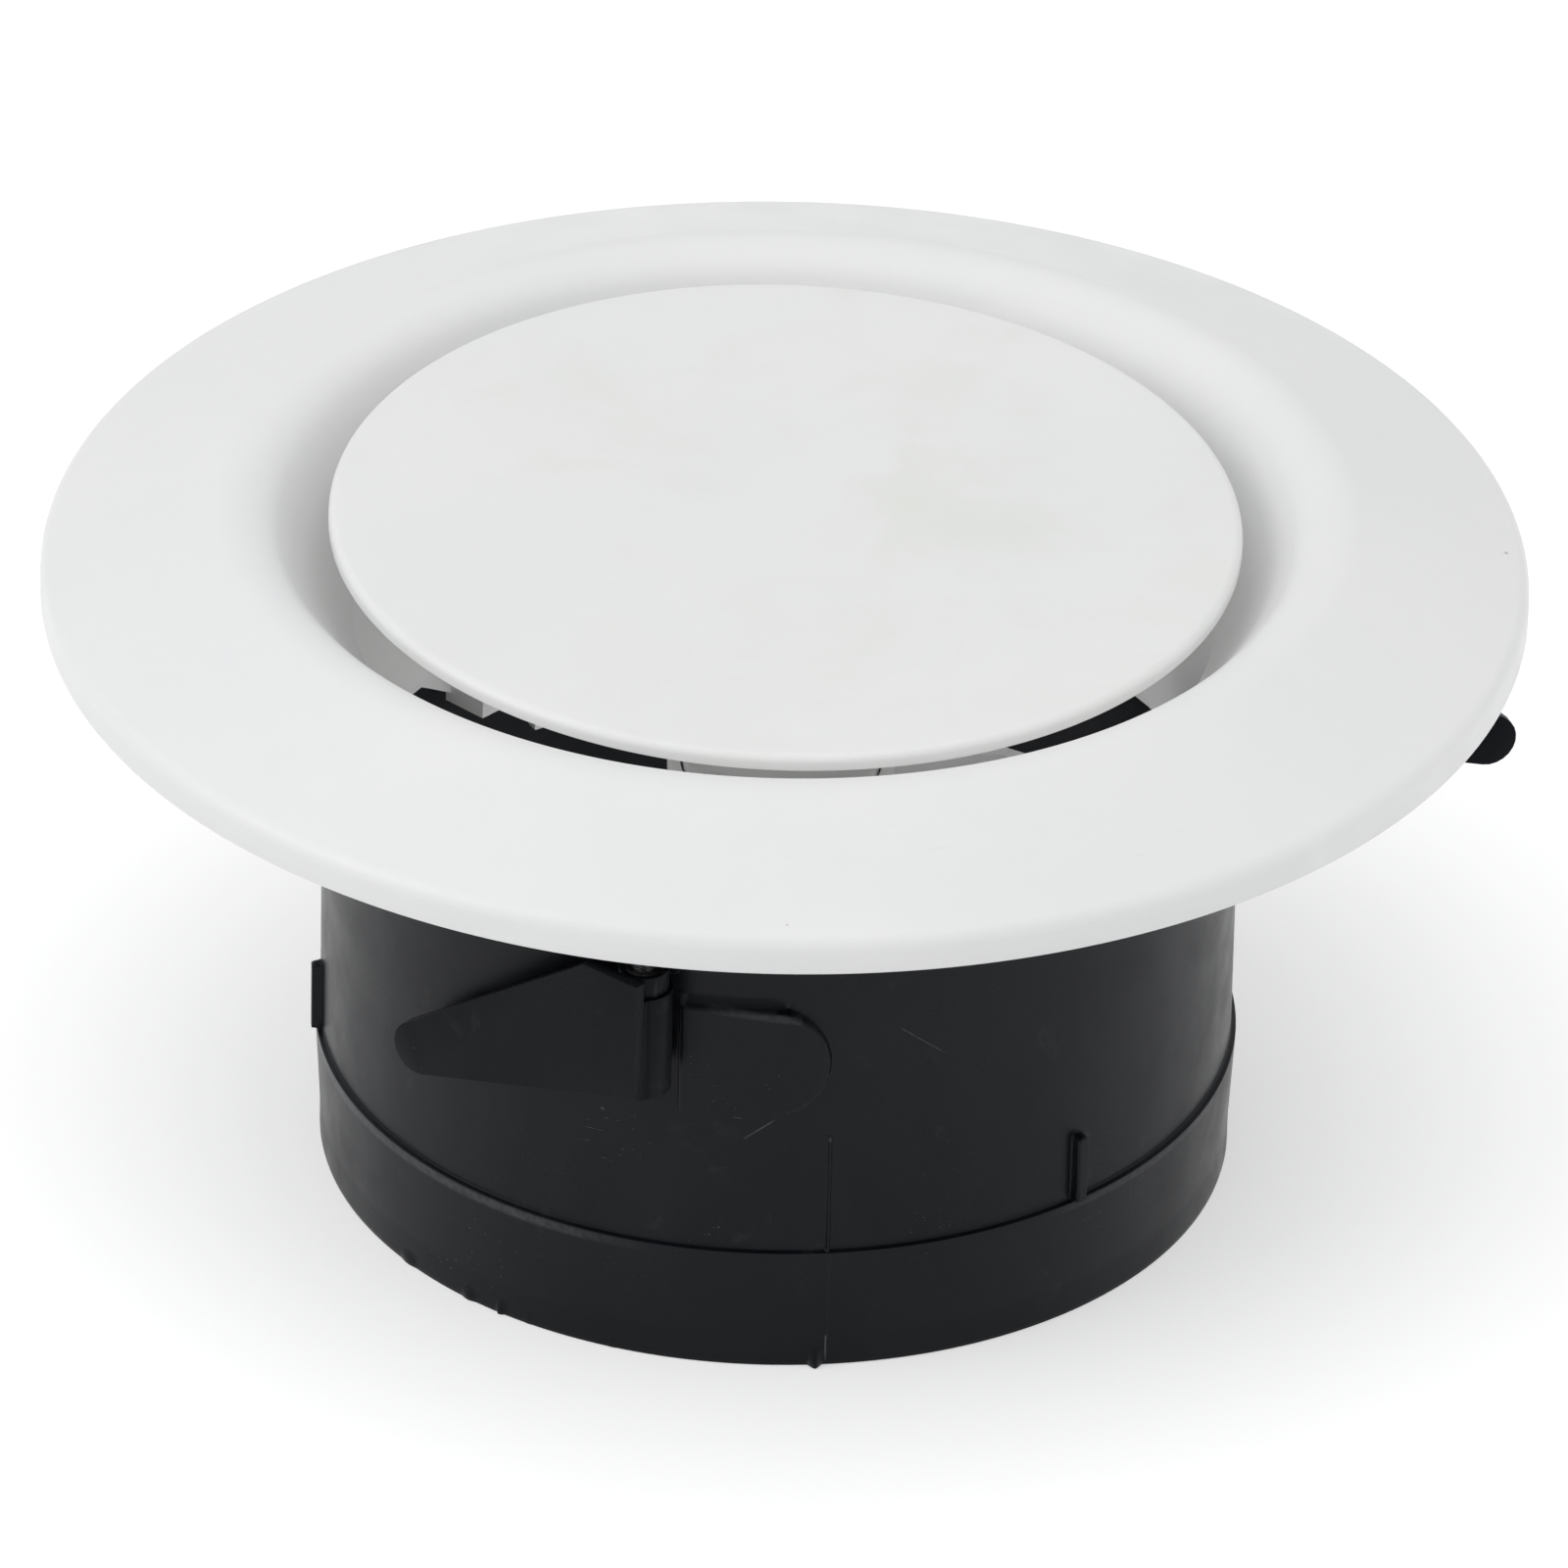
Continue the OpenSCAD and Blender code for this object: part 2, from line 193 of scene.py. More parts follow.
def rounded(corners, radius, steps=4):
    """A closed section outline with every corner rounded by the same small radius."""
    out = []
    count = len(corners)
    for i, corner in enumerate(corners):
        here = Vector(corner)
        back = (Vector(corners[i - 1]) - here)
        ahead = (Vector(corners[(i + 1) % count]) - here)
        reach = min(radius, back.length * 0.45, ahead.length * 0.45)
        start = here + back.normalized() * reach
        end = here + ahead.normalized() * reach
        for k in range(steps + 1):
            t = k / steps
            p = start.lerp(here, t).lerp(here.lerp(end, t), t)
            out.append((p.x, p.y))
    return out


def lathe(section, azimuths, closed=True):
    """Points and faces of a section turned round the axis; the section is a list of (radius, z)."""
    rows, cols = len(section), len(azimuths)
    points = [polar(r, a, z) for a in azimuths for r, z in section]
    faces = []
    for i in range(cols):
        j = (i + 1) % cols
        for k in range(rows if closed else rows - 1):
            m = (k + 1) % rows
            faces.append((i * rows + k, j * rows + k, j * rows + m, i * rows + m))
    return points, faces


def whole_turn(steps):
    """Evenly spaced azimuths."""
    return [360.0 * i / steps for i in range(steps)]


def join(*parts):
    """Joins several (points, faces) pairs into one."""
    points, faces = [], []
    for p, f in parts:
        base = len(points)
        points.extend(p)
        faces.extend([tuple(base + i for i in face) for face in f])
    return points, faces


def box_at(azimuth, low, high):
    """A block in an azimuth's own frame: x out along the radius, y round towards +azimuth, z up."""
    a = math.radians(azimuth)
    out, side = Vector((math.sin(a), -math.cos(a), 0)), Vector((math.cos(a), math.sin(a), 0))
    points = []
    for x in (low[0], high[0]):
        for y in (low[1], high[1]):
            for z in (low[2], high[2]):
                p = out * x + side * y
                points.append((p.x, p.y, z))
    faces = [(0, 1, 3, 2), (4, 6, 7, 5), (0, 4, 5, 1), (2, 3, 7, 6), (0, 2, 6, 4), (1, 5, 7, 3)]
    return points, faces


def plate_at(azimuth, outline, half):
    """A flat plate standing along an azimuth; its outline is a list of (radius, z)."""
    a = math.radians(azimuth)
    out, side = Vector((math.sin(a), -math.cos(a), 0)), Vector((math.cos(a), math.sin(a), 0))
    points = []
    for y in (-half, half):
        for r, z in outline:
            p = out * r + side * y
            points.append((p.x, p.y, z))
    n = len(outline)
    faces = [tuple(range(n)), tuple(range(2 * n - 1, n - 1, -1))]
    faces += [(i, i + n, (i + 1) % n + n, (i + 1) % n) for i in range(n)]
    return points, faces


def kept_part(node, low=None, high=None):
    """A CAD node's mesh above one height or below another, in millimetres, capped flat."""
    mesh = bmesh.new()
    mesh.from_mesh(frame["nodes"][node].data)
    bmesh.ops.remove_doubles(mesh, verts=mesh.verts, dist=0.000002)
    for height, side in ((low, -1), (high, 1)):
        if height is None:
            continue
        everything = mesh.verts[:] + mesh.edges[:] + mesh.faces[:]
        cut = bmesh.ops.bisect_plane(mesh, geom=everything, plane_co=(0, 0, height * MM),
                                     plane_no=(0, 0, side), clear_outer=True)
        rim = [e for e in cut["geom_cut"] if isinstance(e, bmesh.types.BMEdge)]
        bmesh.ops.triangle_fill(mesh, edges=rim, use_beauty=True, use_dissolve=False)
    mesh.verts.index_update()
    points = [tuple(c / MM for c in v.co) for v in mesh.verts]
    faces = [tuple(v.index for v in f.verts) for f in mesh.faces]
    mesh.free()
    return points, faces


def soften(obj, width, segments=3, limit=30.0):
    """Rounds a piece's sharp edges by a small radius, in millimetres."""
    weld = obj.modifiers.new("weld", "WELD")
    weld.merge_threshold = 0.00001
    bevel = obj.modifiers.new("soft_edges", "BEVEL")
    bevel.width = width * MM
    bevel.segments = segments
    bevel.limit_method = "ANGLE"
    bevel.angle_limit = math.radians(limit)
    bevel.use_clamp_overlap = True
    bevel.harden_normals = False
    return obj


# ---------------------------------------------------------------- material helpers

class Shader:
    """A node tree with a Principled surface, in object coordinates measured in millimetres."""

    def __init__(self, name):
        self.material = bpy.data.materials.new(name)
        self.material.use_nodes = True
        self.tree = self.material.node_tree
        self.bsdf = self.tree.nodes["Principled BSDF"]
        coords = self.tree.nodes.new("ShaderNodeTexCoord")
        self.place = self.vector("MULTIPLY", coords.outputs["Object"], (1000.0, 1000.0, 1000.0))

    def link(self, out, to):
        self.tree.links.new(out, to)

    def put(self, socket, value):
        """Sets an input from a number, a tuple or another node's output."""
        if isinstance(value, bpy.types.NodeSocket):
            self.link(value, socket)
        else:
            socket.default_value = value

    def set(self, name, value):
        self.put(self.bsdf.inputs[name], value)

    def vector(self, operation, a, b):
        node = self.tree.nodes.new("ShaderNodeVectorMath")
        node.operation = operation
        self.put(node.inputs[0], a)
        self.put(node.inputs[1], b)
        return node.outputs["Vector"]

    def math(self, operation, a, b=0.0):
        node = self.tree.nodes.new("ShaderNodeMath")
        node.operation = operation
        self.put(node.inputs[0], a)
        self.put(node.inputs[1], b)
        return node.outputs[0]

    def plus(self, a, b):
        return self.math("ADD", a, b)

    def minus(self, a, b):
        return self.math("SUBTRACT", a, b)

    def times(self, first, *others):
        """Product of two or more values."""
        product = first
        for value in others:
            product = self.math("MULTIPLY", product, value)
        return product

    def hypotenuse(self, a, b):
        return self.math("SQRT", self.plus(self.times(a, a), self.times(b, b)))

    def scaled(self, factors):
        return self.vector("MULTIPLY", self.place, factors)

    def moved(self, place, offset):
        return self.vector("ADD", place, offset)

    def noise(self, size, detail=3.0, rough=0.5, place=None, warp=0.0):
        """Noise between 0 and 1 whose blotches are about size millimetres across."""
        node = self.tree.nodes.new("ShaderNodeTexNoise")
        self.put(node.inputs["Vector"], self.place if place is None else place)
        node.inputs["Scale"].default_value = 1.0 / size
        node.inputs["Detail"].default_value = detail
        node.inputs["Roughness"].default_value = rough
        node.inputs["Distortion"].default_value = warp
        return node.outputs["Fac"]

    def cells(self, size, place=None):
        """Distance to the nearest of scattered points, in cell units, and that cell's random colour."""
        node = self.tree.nodes.new("ShaderNodeTexVoronoi")
        self.put(node.inputs["Vector"], self.place if place is None else place)
        node.inputs["Scale"].default_value = 1.0 / size
        return node.outputs["Distance"], node.outputs["Color"]

    def band(self, value, low, high, out_low=0.0, out_high=1.0):
        """Maps a range of values to another range, smoothly and clamped."""
        node = self.tree.nodes.new("ShaderNodeMapRange")
        node.interpolation_type = "SMOOTHSTEP"
        self.put(node.inputs["Value"], value)
        node.inputs["From Min"].default_value = low
        node.inputs["From Max"].default_value = high
        node.inputs["To Min"].default_value = out_low
        node.inputs["To Max"].default_value = out_high
        return node.outputs["Result"]

    def mix(self, factor, a, b):
        """Mixes two colours."""
        node = self.tree.nodes.new("ShaderNodeMix")
        node.data_type = "RGBA"
        self.put(node.inputs[0], factor)
        self.put(node.inputs[6], a)
        self.put(node.inputs[7], b)
        return node.outputs[2]

    def separate(self, vector):
        node = self.tree.nodes.new("ShaderNodeSeparateXYZ")
        self.put(node.inputs[0], vector)
        return node.outputs

    def blot(self, centre, reach, wander):
        """A soft-edged patch around a point seen from above, its outline pulled about by noise."""
        x, y, _ = self.separate(self.place)
        far = self.hypotenuse(self.minus(x, centre[0]), self.minus(y, centre[1]))
        pull = self.band(self.noise(14.0, 3.0, 0.5), 0.2, 0.8, -reach * wander, reach * wander)
        return self.band(self.plus(far, pull), 0.0, reach, 1.0, 0.0)

    def direct_view(self):
        """1 for camera and mirror rays, 0 for the soft light that a surface throws on others."""
        path = self.tree.nodes.new("ShaderNodeLightPath")
        return self.minus(1.0, path.outputs["Is Diffuse Ray"])

    def pointiness(self):
        """About 0.5 on flat surfaces and more on outward edges."""
        return self.tree.nodes.new("ShaderNodeNewGeometry").outputs["Pointiness"]

    def specks(self, cell, radius, share):
        """Small round dots: one in each cell of a given size, kept in a share of the cells."""
        distance, colour = self.cells(cell)
        dot = self.band(distance, radius / cell * 0.6, radius / cell, 1.0, 0.0)
        pick = self.math("LESS_THAN", self.separate(colour)[0], share)
        return self.times(dot, pick)

    def scratches(self, length, width, turn, share, seed):
        """Fine straight scratches along one direction, broken up by a mask."""
        turned = self.tree.nodes.new("ShaderNodeVectorRotate")
        turned.rotation_type = "Z_AXIS"
        self.put(turned.inputs["Vector"], self.moved(self.place, (seed, seed * 1.7, seed * 0.3)))
        turned.inputs["Angle"].default_value = math.radians(turn)
        stretched = self.vector("MULTIPLY", turned.outputs[0], (1.0 / length, 1.0 / width, 1.0 / width))
        node = self.tree.nodes.new("ShaderNodeTexNoise")
        self.put(node.inputs["Vector"], stretched)
        node.inputs["Scale"].default_value = 1.0
        node.inputs["Detail"].default_value = 1.0
        line = self.band(node.outputs["Fac"], 0.735, 0.80)
        patches = self.noise(length * 1.5, 1.0, 0.4, self.moved(self.place, (seed * 3, 0, 0)))
        return self.times(line, self.band(patches, 1 - share, 1.06 - share))

    def stroke(self, start, end, width):
        """A pale line on the collar's wall from one (azimuth, z) point to another, which fades at its end;
        some of these lines are painted highlights.
        """
        x, y, z = self.separate(self.place)
        round_wall = self.times(self.math("ARCTAN2", x, self.times(y, -1.0)), COLLAR_R)
        (u0, v0), (u1, v1) = [(math.radians(a) * COLLAR_R, h) for a, h in (start, end)]
        length = max(math.hypot(u1 - u0, v1 - v0), 0.01)
        du, dv = (u1 - u0) / length, (v1 - v0) / length
        u, v = self.minus(round_wall, u0), self.minus(z, v0)
        along = self.plus(self.times(u, du), self.times(v, dv))
        across = self.math("ABSOLUTE", self.minus(self.times(u, dv), self.times(v, du)))
        onset = 0.8
        fade = max(onset, length * 0.3)
        line = self.band(across, width * 0.3, width, 1.0, 0.0)
        ends = self.times(self.band(along, 0.0, onset), self.band(along, length - fade, length, 1.0, 0.0))
        outside = self.band(self.hypotenuse(x, y), COLLAR_R - 1.0, COLLAR_R - 0.6)
        broken = self.band(self.noise(1.1, 3.0, 0.6), 0.25, 0.75, 0.45, 1.0)
        return self.times(line, ends, outside, broken)

    def bump(self, height, strength, depth, under=None):
        """A bump of a given depth in millimetres, stacked on another bump."""
        node = self.tree.nodes.new("ShaderNodeBump")
        node.inputs["Strength"].default_value = strength
        node.inputs["Distance"].default_value = depth * MM
        self.put(node.inputs["Height"], height)
        if under is not None:
            self.put(node.inputs["Normal"], under)
        return node.outputs["Normal"]


def grey(value):
    return (value, value, value, 1.0)


# ---------------------------------------------------------------- materials

def white_plastic(name, smudged):
    """Satin white ABS: faint mottling, specks, hairline scuffs and, on the disc, handling smudges."""
    s = Shader(name)
    broad = s.noise(70.0, 3.0, 0.5, warp=0.6)
    fine = s.noise(6.0, 4.0, 0.6)
    tint = s.mix(s.band(broad, 0.30, 0.70), (0.895, 0.90, 0.897, 1.0), (0.922, 0.921, 0.914, 1.0))
    tint = s.mix(s.band(fine, 0.35, 0.75, 0.0, 0.10), tint, (0.85, 0.85, 0.845, 1.0))
    if smudged:
        smudge = s.noise(30.0, 5.0, 0.6, s.moved(s.place, (31.0, 12.0, 5.0)), warp=0.4)
        tint = s.mix(s.band(smudge, 0.46, 0.70, 0.0, 0.30), tint, (0.84, 0.86, 0.80, 1.0))
        cloud = s.plus(s.blot((27.0, 4.0), 24.0, 0.5), s.times(s.blot((24.0, 46.0), 26.0, 0.5), 0.7))
        tint = s.mix(s.times(cloud, 0.34), tint, (0.82, 0.845, 0.775, 1.0))
    speck = s.specks(17.0, 0.32, 0.20)
    tint = s.mix(s.times(speck, 0.55), tint, (0.36, 0.35, 0.33, 1.0))
    scuff = s.scratches(26.0, 0.22, 34.0 if smudged else -22.0, 0.42, 11.0)
    tint = s.mix(s.times(scuff, 0.22), tint, (0.55, 0.56, 0.57, 1.0))
    if not smudged:
        nick = s.times(s.blot((115.3, 4.3), 0.55, 0.3), 0.9)
        tint = s.mix(nick, tint, (0.30, 0.30, 0.34, 1.0))
    s.set("Base Color", tint)
    s.set("Roughness", s.band(s.noise(11.0, 4.0, 0.6), 0.30, 0.75, 0.34, 0.47))
    s.set("IOR", 1.52)
    s.set("Subsurface Weight", 0.06)
    s.set("Subsurface Radius", (0.0016, 0.0014, 0.0012))
    s.set("Subsurface Scale", 1.0)
    texture = s.bump(s.noise(0.55, 2.0, 0.5), 0.10, 0.03)
    texture = s.bump(s.noise(9.0, 2.0, 0.5), 0.16, 0.06, texture)
    texture = s.bump(s.minus(1.0, scuff), 0.25, 0.03, texture)
    s.set("Normal", texture)
    return s.material


def black_plastic(name, lines_and_highlights, shine):
    """Semi-matte black ABS: moulding flow, rubs, pale scratches, dust, a fine grain, painted highlights on
    outward edges and listed pale lines, some of them painted highlights.
    """
    s = Shader(name)
    flow = s.noise(1.0, 4.0, 0.55, s.scaled((1 / 26.0, 1 / 26.0, 1 / 60.0)), warp=0.8)
    base = s.mix(s.band(flow, 0.30, 0.72), (0.0030, 0.0038, 0.0056, 1.0), (0.0058, 0.0070, 0.0096, 1.0))
    rub = s.noise(9.0, 5.0, 0.65, s.moved(s.place, (7.0, 3.0, 40.0)), warp=0.5)
    base = s.mix(s.band(rub, 0.60, 0.78, 0.0, 0.35), base, (0.034, 0.037, 0.042, 1.0))
    long_hair = s.scratches(15.0, 0.20, 25.0, 0.40, 3.0)
    short_hair = s.scratches(11.0, 0.16, -61.0, 0.36, 19.0)
    hair = s.math("MAXIMUM", long_hair, short_hair)
    base = s.mix(s.times(hair, 0.55), base, (0.22, 0.23, 0.24, 1.0))
    # Painted highlight: outward edges such as ribs, the band's step and pad edges are lightened, standing in
    # for light caught on rounded edges.
    edge = s.band(s.pointiness(), 0.525, 0.60)
    base = s.mix(s.times(edge, 0.35), base, (0.075, 0.080, 0.085, 1.0))
    # Listed pale lines: the pad's ledge, the glint at its end and the band's top edge are painted highlights.
    for start, end, width, strength in lines_and_highlights:
        base = s.mix(s.times(s.stroke(start, end, width), strength), base, (0.24, 0.25, 0.26, 1.0))
    dust = s.specks(8.5, 0.22, 0.16)
    base = s.mix(s.times(dust, 0.8), base, (0.42, 0.42, 0.41, 1.0))
    s.set("Base Color", base)
    s.set("Roughness", s.band(s.noise(14.0, 5.0, 0.6), 0.30, 0.72, 0.27, 0.39))
    s.set("IOR", 1.50)
    s.set("Specular IOR Level", shine)
    texture = s.bump(s.noise(0.40, 2.0, 0.5), 0.22, 0.03)
    texture = s.bump(s.noise(12.0, 2.0, 0.5), 0.22, 0.10, texture)
    texture = s.bump(s.minus(1.0, hair), 0.30, 0.03, texture)
    s.set("Normal", texture)
    return s.material


def metal(name, dark, light, rough, grain=(1.0, 1.0, 0.12), tarnish=(0.30, 0.27, 0.22)):
    """Plated or turned metal: directional grain, cloudy tarnish and roughness to match."""
    s = Shader(name)
    lines = s.noise(0.22, 3.0, 0.6, s.scaled(grain))
    cloud = s.noise(3.5, 4.0, 0.6, warp=0.7)
    base = s.mix(s.band(cloud, 0.30, 0.72), dark + (1.0,), light + (1.0,))
    base = s.mix(s.band(lines, 0.35, 0.75, 0.0, 0.25), base, grey(0.85))
    stain = s.noise(2.2, 4.0, 0.65, s.moved(s.place, (5.0, 9.0, 2.0)))
    base = s.mix(s.band(stain, 0.62, 0.80, 0.0, 0.40), base, tarnish + (1.0,))
    s.set("Base Color", base)
    s.set("Metallic", 1.0)
    s.set("Roughness", s.band(cloud, 0.25, 0.75, rough, rough + 0.16))
    s.set("Normal", s.bump(lines, 0.18, 0.02))
    return s.material


def acetal_plastic(name):
    """Natural acetal: waxy off-white with a faint turned texture."""
    s = Shader(name)
    cloud = s.noise(5.0, 3.0, 0.5)
    s.set("Base Color", s.mix(s.band(cloud, 0.3, 0.7), (0.74, 0.72, 0.66, 1.0), (0.83, 0.81, 0.75, 1.0)))
    s.set("Roughness", s.band(cloud, 0.3, 0.7, 0.30, 0.42))
    s.set("Subsurface Weight", 0.15)
    s.set("Subsurface Radius", (0.002, 0.0018, 0.0014))
    s.set("Subsurface Scale", 1.0)
    s.set("Normal", s.bump(s.noise(0.3, 2.0, 0.5, s.scaled((0.2, 0.2, 1.0))), 0.2, 0.02))
    return s.material


def foam_rubber(name):
    """Closed-cell foam: dark skin with pores, coloured near black as painted shade in their hollows."""
    s = Shader(name)
    distance, _ = s.cells(0.7)
    pore = s.band(distance, 0.12, 0.42)
    cloud = s.noise(12.0, 3.0, 0.6)
    skin = s.mix(s.band(cloud, 0.3, 0.7), (0.035, 0.036, 0.038, 1.0), (0.060, 0.060, 0.062, 1.0))
    # Painted shade: the pore hollows are coloured darker than the skin.
    s.set("Base Color", s.mix(pore, grey(0.012), skin))
    s.set("Roughness", 0.92)
    s.set("Sheen Weight", 0.15)
    s.set("Normal", s.bump(pore, 0.6, 0.15))
    return s.material


# Pale lines painted on the collar: start and end (azimuth, z), half width in millimetres, strength.
# The first is a painted highlight along the top ledge of a stop pad, the second a painted glint at that
# ledge's left end, and the last two a painted highlight along the band's top edge.
COLLAR_PALE_LINES_AND_HIGHLIGHTS = [
    ((3.5, -35.0), (-9.5, -33.1), 0.95, 0.13), ((-12.2, -32.6), (-10.6, -32.6), 1.1, 0.22),
    ((-3.8, -57.9), (0.6, -53.6), 0.18, 0.32), ((15.4, -38.0), (22.0, -44.6), 0.16, 0.22),
    ((-21.9, -55.4), (-21.2, -56.0), 0.3, 0.8), ((-5.2, -53.8), (-3.6, -54.0), 0.12, 0.3),
    ((7.0, -57.0), (7.0, -58.2), 0.3, 0.6), ((7.0, -94.0), (7.0, -99.5), 0.2, 0.4),
    ((-84.0, -79.4), (-12.0, -79.4), 1.2, 0.25), ((72.0, -79.3), (34.0, -79.3), 0.9, 0.14),
]
WHITE = white_plastic("white_abs", False)
WHITE_DISC = white_plastic("white_abs_disc", True)
BLACK = black_plastic("black_abs", [], 0.06)
BLACK_COLLAR = black_plastic("black_abs_collar", COLLAR_PALE_LINES_AND_HIGHLIGHTS, 0.165)
ZINC = metal("zinc_steel", (0.46, 0.47, 0.49), (0.66, 0.67, 0.69), 0.24)
SPRING = metal("spring_steel", (0.06, 0.06, 0.065), (0.13, 0.13, 0.14), 0.34, tarnish=(0.10, 0.06, 0.04))
BRASS = metal("brass", (0.52, 0.36, 0.14), (0.74, 0.56, 0.26), 0.26, grain=(0.2, 0.2, 1.0),
              tarnish=(0.28, 0.17, 0.07))
ACETAL = acetal_plastic("acetal")
FOAM = foam_rubber("foam")
SLOT_MATERIAL = {"white_abs": WHITE, "black_abs": BLACK, "zinc_steel": ZINC, "spring_steel": SPRING,
                 "brass": BRASS, "acetal": ACETAL, "foam": FOAM}

# ---------------------------------------------------------------- face ring

LIP_Z = LIP_TOP - LIP_ROLL
CONE_RUN = FACE_R - RIM_ROUND - LIP_R
CONE_RISE = LIP_Z - RIM_H
CONE_TILT = (math.degrees(math.asin((LIP_ROLL - RIM_ROUND) / math.hypot(CONE_RUN, CONE_RISE)))
             + math.degrees(math.atan2(CONE_RISE, CONE_RUN)))
FUNNEL_R = LIP_R - LIP_ROLL * math.sin(math.radians(FUNNEL_SLOPE))
FUNNEL_Z = LIP_Z + LIP_ROLL * math.cos(math.radians(FUNNEL_SLOPE))
SEAT_Z = FUNNEL_Z - (FUNNEL_R - THROAT_R) * math.tan(math.radians(FUNNEL_SLOPE))


def face_ring():
    """Rim, shallow cone, rolled lip, funnel and skirt in one shell, with the legs and the ribs behind."""
    edge = 0.5
    section = [(FACE_R - SKIN + edge, 0.0)]
    section += arc(FACE_R - edge, edge, edge, -90, 0, 4)
    section += arc(FACE_R - RIM_ROUND, RIM_H, RIM_ROUND, 0, 90 - CONE_TILT, 10)
    section += arc(LIP_R, LIP_Z, LIP_ROLL, 90 - CONE_TILT, 90 + FUNNEL_SLOPE, 36)
    section += arc(THROAT_R - 3.0, SEAT_Z - 1.5, 3.0, 35, 0, 6)
    section += arc(THROAT_R + edge, SKIRT_LOW + edge, edge, 180, 270, 4)
    section += arc(THROAT_R + SKIN - edge, SKIRT_LOW + edge, edge, 270, 360, 4)
    section += [(THROAT_R + SKIN, SEAT_Z - 0.7)]
    section += arc(LIP_R, LIP_Z, LIP_ROLL - SKIN, 90 + FUNNEL_SLOPE, 90 - CONE_TILT, 24)
    section += [(FACE_R - RIM_ROUND, RIM_H + RIM_ROUND - SKIN), (FACE_R - SKIN, RIM_H)]
    section += [(FACE_R - SKIN, edge)]
    ring = piece("face_ring_shell", *lathe(section, whole_turn(SHELL_STEPS)), "frame", WHITE, "white_abs")
    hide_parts("face_ring")

    low_part = kept_part("face_ring", high=SKIRT_LOW + LEG_OVERLAP)
    soften(piece("face_ring_legs", *low_part, "frame", WHITE, "white_abs"), 0.3, 2)

    inside, outside = MOUNT_R + BACK_RIB_IN, FACE_R - SKIN / 2
    outline = [(inside, BACK_RIB_LOW), (outside, BACK_RIB_LOW), (outside, RIM_H),
               (inside, RIM_H + BACK_RIB_RISE)]
    ribs = [plate_at((i + 0.5) * 360 / BACK_RIBS, outline, 0.8) for i in range(BACK_RIBS)]
    soften(piece("face_ring_ribs", *join(*ribs), "frame", WHITE, "white_abs"), 0.25)


# ---------------------------------------------------------------- centre disc

def hung(points):
    """Moves the disc's tray from the origin to its place, hanging a little crooked."""
    turn = Matrix.Rotation(math.radians(DISC_LEAN), 3, "Y") @ Matrix.Rotation(math.radians(DISC_TILT), 3, "X")
    return [tuple(turn @ Vector(p) + Vector((0, 0, DISC_MID))) for p in points]


def disc_face():
    """The disc: a barely crowned shallow tray with a soft edge, its boss and post, and webs behind."""
    edge = 0.2
    crown = 0.12
    flat_r = DISC_R - DISC_ROUND
    section = [(r, -crown * (r / flat_r) ** 2) for r in np.linspace(0.6, flat_r, 22)][:-1]
    section += arc(flat_r, -crown - DISC_ROUND, DISC_ROUND, 90, 0, 10)
    section += arc(DISC_R - edge, -DISC_H + edge, edge, 0, -90, 4)
    section += arc(DISC_R - SKIN + edge, -DISC_H + edge, edge, -90, -180, 4)
    section += arc(DISC_R - SKIN - 0.25, -SKIN - 0.25, 0.25, 0, 90, 3)
    section += [(r, -SKIN) for r in np.linspace(DISC_R - SKIN - 4, 0.6, 8)]
    points, faces = lathe(section, whole_turn(SHELL_STEPS), closed=False)
    rows = len(section)
    for row, flip in ((0, True), (rows - 1, False)):
        centre = len(points)
        points.append((0.0, 0.0, section[row][1]))
        for i in range(SHELL_STEPS):
            a, b = i * rows + row, ((i + 1) % SHELL_STEPS) * rows + row
            faces.append((centre, b, a) if flip else (centre, a, b))
    disc = piece("face_disc_tray", hung(points), faces, "disc", WHITE_DISC, "white_abs")
    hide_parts("face_disc")

    boss = rounded([(BOSS_IN, BOSS_LOW), (BOSS_R, BOSS_LOW), (BOSS_R, BOSS_TOP), (BOSS_IN, BOSS_TOP)], 0.4)
    post = rounded([(INSERT_R, POST_LOW), (POST_R, POST_LOW), (POST_R, BOSS_TOP), (INSERT_R, BOSS_TOP)], 0.5)
    turned = join(lathe(boss, whole_turn(128)), lathe(post, whole_turn(96)))
    piece("face_disc_boss", *turned, "disc", WHITE, "white_abs")

    root, under = BOSS_R - 0.5, -SKIN + 0.3
    outline = [(root, -WEB_DEEP), (WEB_R, -WEB_SHALLOW), (WEB_R, under), (root, under)]
    points, faces = join(*[plate_at(i * 360 / WEBS, outline, 0.9) for i in range(WEBS)])
    soften(piece("face_disc_webs", hung(points), faces, "disc", WHITE, "white_abs"), 0.3)


# ---------------------------------------------------------------- collar

def step(x, low, high):
    """Smooth step from 0 to 1."""
    t = np.clip((x - low) / (high - low), 0.0, 1.0)
    return t * t * (3 - 2 * t)


def arc_mm(azimuth, centre):
    """Distance round the collar wall from an azimuth, in millimetres."""
    d = (azimuth - centre + 180.0) % 360.0 - 180.0
    return math.radians(1.0) * d * COLLAR_R


def rib_height(azimuth, z):
    """How far an upright rib with a round top stands out of the wall."""
    height = 0.0
    for az in RIB_AZ:
        across = math.hypot(arc_mm(azimuth, az), max(0.0, z - RIB_TOP + 1.2))
        beside = 1.0 - step(across, 0.85, 1.25)
        height = max(height, (RIB_R - COLLAR_R) * beside * step(-z, -RIB_TOP - 0.3, -RIB_TOP + 0.9))
    return height


def ridge_height(azimuth, z):
    """How far the parting ridge stands out: less on the band than above it."""
    beside = 1.0 - step(abs(arc_mm(azimuth, RIDGE_AZ)), 0.12, 0.42)
    height = 0.495 if z > BAND_TOP else 0.11
    return height * beside * step(-z, -RIDGE_TOP, -RIDGE_TOP + 0.5) * (1.0 - step(-z, 98.6, 99.6))


